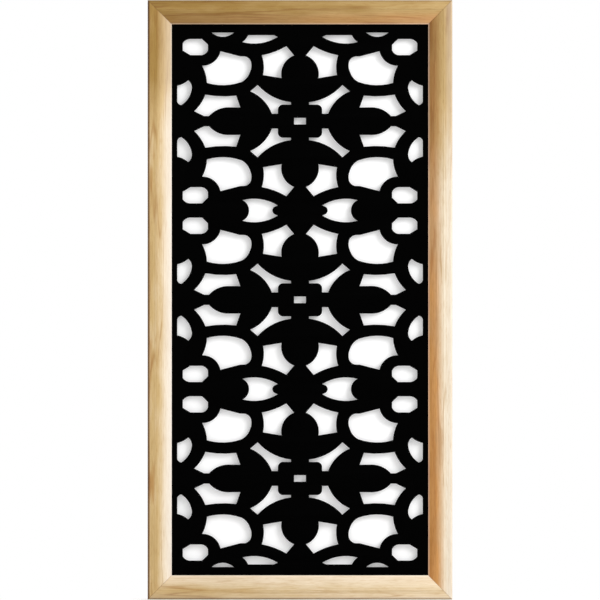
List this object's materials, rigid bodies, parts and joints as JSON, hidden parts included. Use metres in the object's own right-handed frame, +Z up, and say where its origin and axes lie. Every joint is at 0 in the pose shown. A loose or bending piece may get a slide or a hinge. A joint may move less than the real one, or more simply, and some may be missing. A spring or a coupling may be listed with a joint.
{
  "type": "decorative screen module",
  "caption": "Upright screen module: a black sheet cut with symmetrical leaf and oval fretwork, in a mitred moulded pine frame with keyhole plates in its back.",
  "frame": {"origin": "under the middle of the bottom edge, half way through the frame's thickness", "axes": "+X to the right across the module, +Z up, the moulded front faces -Y and the flat back faces +Y"},
  "size_m": [0.61, 0.032, 1.2],
  "materials": {
    "pine": "clear satin lacquer, straight grain along each rail",
    "black_sheet": "satin black",
    "zinc_plated_steel": "zinc plated"
  },
  "bodies": {
    "root": {"fretwork_panel": "black_sheet", "left_stile": "pine", "right_stile": "pine", "top_rail": "pine", "bottom_rail": "pine", "left_bead": "pine", "right_bead": "pine", "top_bead": "pine", "bottom_bead": "pine", "left_brads": "zinc_plated_steel", "right_brads": "zinc_plated_steel", "top_brads": "zinc_plated_steel", "bottom_brads": "zinc_plated_steel", "plate_screws": "zinc_plated_steel", "corner_nails_bottom_left": "zinc_plated_steel", "corner_nails_top_left": "zinc_plated_steel", "corner_nails_top_right": "zinc_plated_steel", "corner_nails_bottom_right": "zinc_plated_steel", "keyhole_plate_left": "zinc_plated_steel", "keyhole_plate_right": "zinc_plated_steel"}
  },
  "joints": []
}
